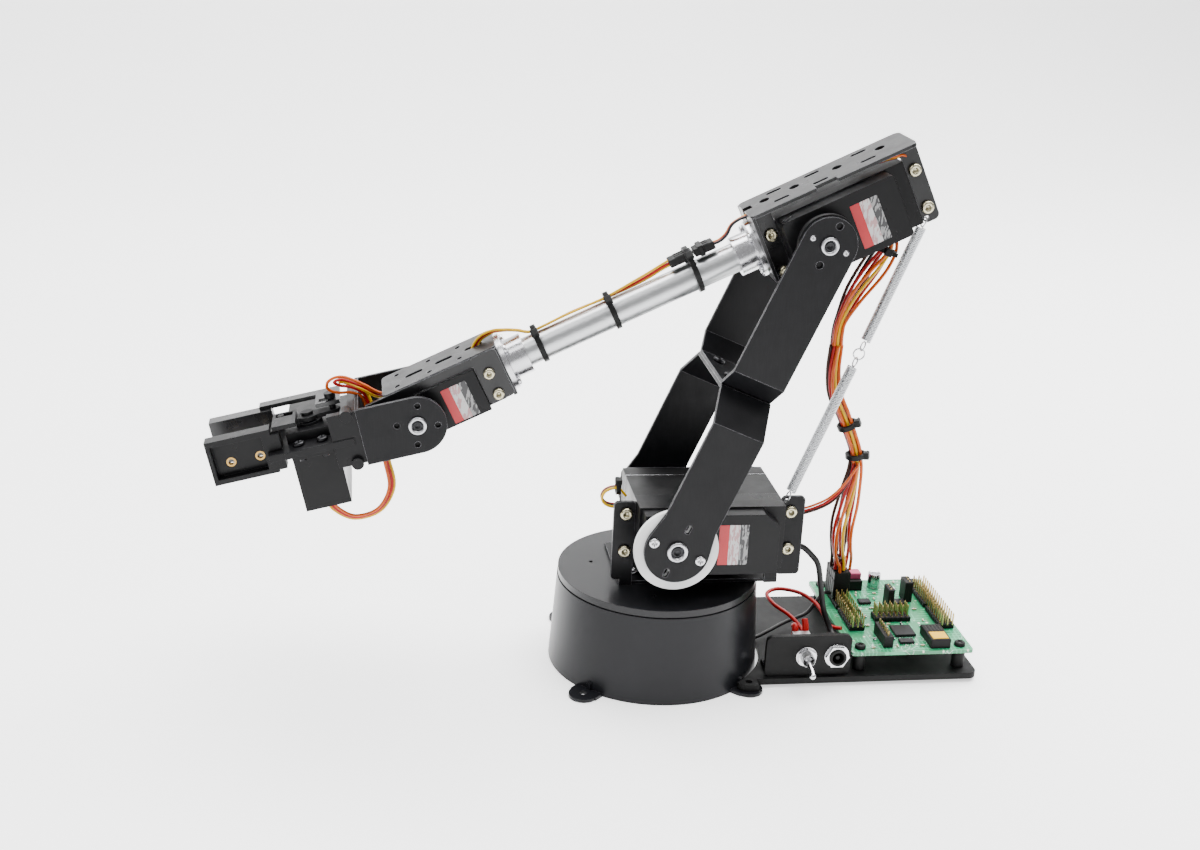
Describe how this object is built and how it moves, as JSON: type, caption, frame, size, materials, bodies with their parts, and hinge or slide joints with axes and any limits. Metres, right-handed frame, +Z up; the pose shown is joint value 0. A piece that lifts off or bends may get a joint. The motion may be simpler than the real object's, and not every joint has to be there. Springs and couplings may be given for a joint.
{
  "type": "desktop robot arm",
  "caption": "Desktop hobby-servo robot arm on a round turntable base, with bent-sheet upper arm, tube forearm, counterbalance springs, parallel-jaw gripper and a rear controller board.",
  "frame": {"origin": "turntable axis at the level of the table", "axes": "+X the reach direction, away from the controller board; +Y the side with the servo horns; +Z up along the turntable axis"},
  "size_m": [0.3478, 0.0976, 0.2465],
  "materials": {
    "base_plastic": "fine moulded grain",
    "black_cable": "insulation",
    "black_plastic": "satin moulded",
    "black_sheet": "black anodised sheet",
    "board_green": "green solder mask",
    "brass_insert": "knurled",
    "brass_screws": "plated",
    "chip_black": "moulded",
    "chrome_lever": "polished",
    "dark_screws": "black oxide",
    "disc_plastic": "fine moulded grain",
    "header_black": "moulded",
    "horn_black": "moulded",
    "hub_aluminium": "turned",
    "jaw_plastic": "moulded",
    "pivot_metal": "turned",
    "plate_black": "black sheet plastic",
    "red_wire": "insulation",
    "servo_plastic": "fine moulded grain",
    "servo_wire": "insulation",
    "spring_steel": "zinc plated wire",
    "steel_screws": "zinc plated",
    "switch_metal": "plated",
    "tie_nylon": "nylon",
    "tube_aluminium": "drawn tube",
    "white_nylon": "moulded nylon"
  },
  "bodies": {
    "base": {"base_shell": "base_plastic", "base_servo": "servo_plastic", "base_screws": "steel_screws", "electronics_plate": "plate_black", "standoffs": "black_plastic", "circuit_board": "board_green", "pin_headers": "header_black", "board_chips": "chip_black", "loom_plugs": "black_plastic", "switch_panel": "plate_black", "toggle_switch": "switch_metal", "panel_nuts": "chrome_lever", "power_jack": "black_plastic", "power_leads": "red_wire"},
    "switch_lever": {"toggle_lever": "chrome_lever"},
    "turret": {"turret_horn": "horn_black", "turret_disc": "disc_plastic", "shoulder_bracket": "black_sheet", "shoulder_servo_case": "servo_plastic", "shoulder_gearbox": "servo_plastic", "turret_screws": "brass_screws", "shoulder_lead": "servo_wire", "loom_ties": "tie_nylon", "loom_low": "servo_wire", "board_lead": "black_cable"},
    "upper_arm": {"shoulder_horn": "white_nylon", "lower_fork": "black_sheet", "upper_fork": "black_sheet", "arm_screws": "steel_screws", "arm_pivots": "pivot_metal", "elbow_horn": "horn_black", "spring_ring": "spring_steel", "lower_spring": "spring_steel", "loom_mid": "servo_wire"},
    "forearm": {"elbow_bracket": "black_sheet", "elbow_servo_case": "servo_plastic", "elbow_gearbox": "servo_plastic", "forearm_tube": "tube_aluminium", "tube_hubs": "hub_aluminium", "wrist_bracket": "black_sheet", "wrist_servo": "servo_plastic", "forearm_screws": "brass_screws", "forearm_idlers": "black_plastic", "tube_ties": "tie_nylon", "forearm_wires": "servo_wire", "lead_plug": "black_plastic", "upper_spring": "spring_steel", "loom_top": "servo_wire"},
    "hand": {"wrist_horn": "horn_black", "hand_bracket": "black_sheet", "hand_pivots": "pivot_metal", "gripper_frame": "jaw_plastic", "gripper_servo": "servo_plastic", "hand_screws": "dark_screws", "gripper_lead": "servo_wire"},
    "near_jaw": {"jaw_near": "jaw_plastic", "inserts_near": "brass_insert"},
    "far_jaw": {"jaw_far": "jaw_plastic", "inserts_far": "brass_insert"},
    "crank": {"gripper_crank": "horn_black"}
  },
  "joints": [
    {"name": "base_yaw", "type": "hinge", "parent": "base", "child": "turret", "pos_m": [0, 0, 0.0417], "axis": [0, 0, 1], "range_deg": [-90, 90], "deforming": ["loom_low", "board_lead"]},
    {"name": "shoulder", "type": "hinge", "parent": "turret", "child": "upper_arm", "pos_m": [0, 0, 0.0709], "axis": [0, -1, 0], "range_deg": [-95, 20], "deforming": ["lower_spring", "loom_mid", "spring_ring"]},
    {"name": "elbow", "type": "hinge", "parent": "upper_arm", "child": "forearm", "pos_m": [-0.05707, 0, 0.20534], "axis": [0, 1, 0], "range_deg": [-110, 6], "deforming": ["upper_spring", "loom_top"]},
    {"name": "wrist", "type": "hinge", "parent": "forearm", "child": "hand", "pos_m": [0.1117, 0, 0.12412], "axis": [0, 1, 0], "range_deg": [-75, 80], "deforming": ["gripper_lead"]},
    {"name": "near_jaw_slide", "type": "slide", "parent": "hand", "child": "near_jaw", "axis": [0, 1, 0], "range_m": [-0.0087, 0.007]},
    {"name": "far_jaw_slide", "type": "slide", "parent": "hand", "child": "far_jaw", "axis": [0, -1, 0], "range_m": [-0.0088, 0.0071]},
    {"name": "crank_turn", "type": "hinge", "parent": "hand", "child": "crank", "pos_m": [0.156, 0.00325, 0.11373], "axis": [0.2284, 0, 0.9736], "range_deg": [-50.37, 40.63]},
    {"name": "power_switch", "type": "hinge", "parent": "base", "child": "switch_lever", "pos_m": [-0.0649, 0.0361, 0.0144], "axis": [1, 0, 0], "range_deg": [0, 40]}
  ],
  "couplings": [
    {"joint": "far_jaw_slide", "follows": "near_jaw_slide", "ratio": 1},
    {"joint": "crank_turn", "follows": "near_jaw_slide", "rad_per_m": 100.05}
  ]
}
